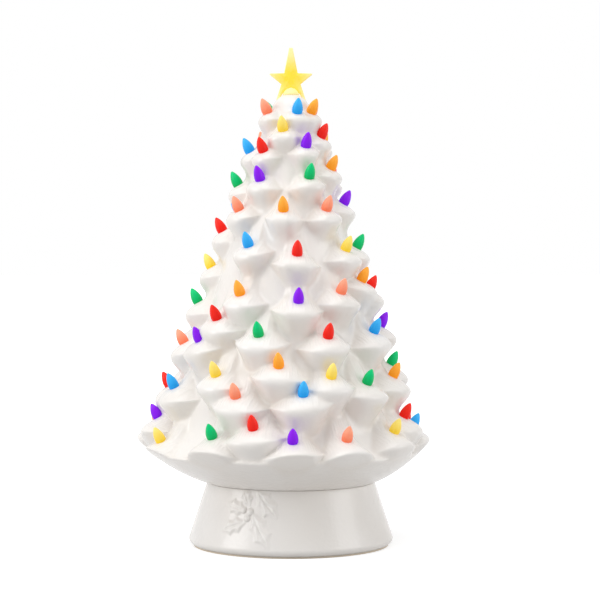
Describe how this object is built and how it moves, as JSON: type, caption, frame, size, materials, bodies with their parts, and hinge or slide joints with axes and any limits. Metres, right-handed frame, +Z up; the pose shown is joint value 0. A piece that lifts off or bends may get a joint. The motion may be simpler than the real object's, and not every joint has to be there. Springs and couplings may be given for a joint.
{
  "type": "ceramic christmas tree",
  "caption": "White glazed ceramic christmas tree with plug-in coloured bulbs and a yellow star, lifting off a flared base that holds its battery light.",
  "frame": {"origin": "on the tree's own axis, at the surface it stands on", "axes": "+Z up along the tree's axis to the star, -Y towards the front with the holly, +X to the right seen from the front"},
  "size_m": [0.3526, 0.3528, 0.61],
  "materials": {
    "white_glaze": "gloss",
    "felt": "matt",
    "white_plastic": "satin",
    "black_plastic": "satin",
    "nickel_steel": "satin",
    "board_mask": "satin",
    "led_phosphor": "gloss",
    "frosted_cap": "matt",
    "red_wire": "satin",
    "black_wire": "satin",
    "cell_sleeve": "gloss",
    "star_yellow": "gloss",
    "bulb_red": "gloss",
    "bulb_orange": "gloss",
    "bulb_yellow": "gloss",
    "bulb_green": "gloss",
    "bulb_blue": "gloss",
    "bulb_purple": "gloss",
    "bulb_salmon": "gloss"
  },
  "bodies": {
    "base": {"base_pedestal": "white_glaze", "foot_pad": "felt", "base_plate": "white_plastic", "light_post": "white_plastic", "switch_housing": "black_plastic", "plate_contacts": "nickel_steel", "leaf_contacts": "nickel_steel", "post_screws": "nickel_steel", "led_board": "board_mask", "leds": "led_phosphor", "diffuser": "frosted_cap", "lead_battery": "red_wire", "lead_switched": "red_wire", "lead_return": "black_wire", "battery_1": "cell_sleeve", "battery_2": "cell_sleeve", "battery_3": "cell_sleeve"},
    "tree": {"tree_shell": "white_glaze", "bulbs_red": "bulb_red", "bulbs_orange": "bulb_orange", "bulbs_yellow": "bulb_yellow", "bulbs_green": "bulb_green", "bulbs_blue": "bulb_blue", "bulbs_purple": "bulb_purple", "bulbs_salmon": "bulb_salmon"},
    "star": {"star_topper": "star_yellow"},
    "door": {"battery_door": "white_plastic"},
    "switch": {"switch_knob": "black_plastic"}
  },
  "joints": [
    {"name": "tree_lift", "type": "slide", "parent": "base", "child": "tree", "axis": [0, 0, 1], "range_m": [0, 0.15]},
    {"name": "star_pull", "type": "slide", "parent": "tree", "child": "star", "axis": [0, 0, 1], "range_m": [0, 0.03]},
    {"name": "battery_door_hinge", "type": "hinge", "parent": "base", "child": "door", "pos_m": [0, 0.0741, 0.0038], "axis": [1, 0, 0], "range_deg": [0, 100]},
    {"name": "switch_slide", "type": "slide", "parent": "base", "child": "switch", "axis": [1, 0, 0], "range_m": [0, 0.005]}
  ]
}
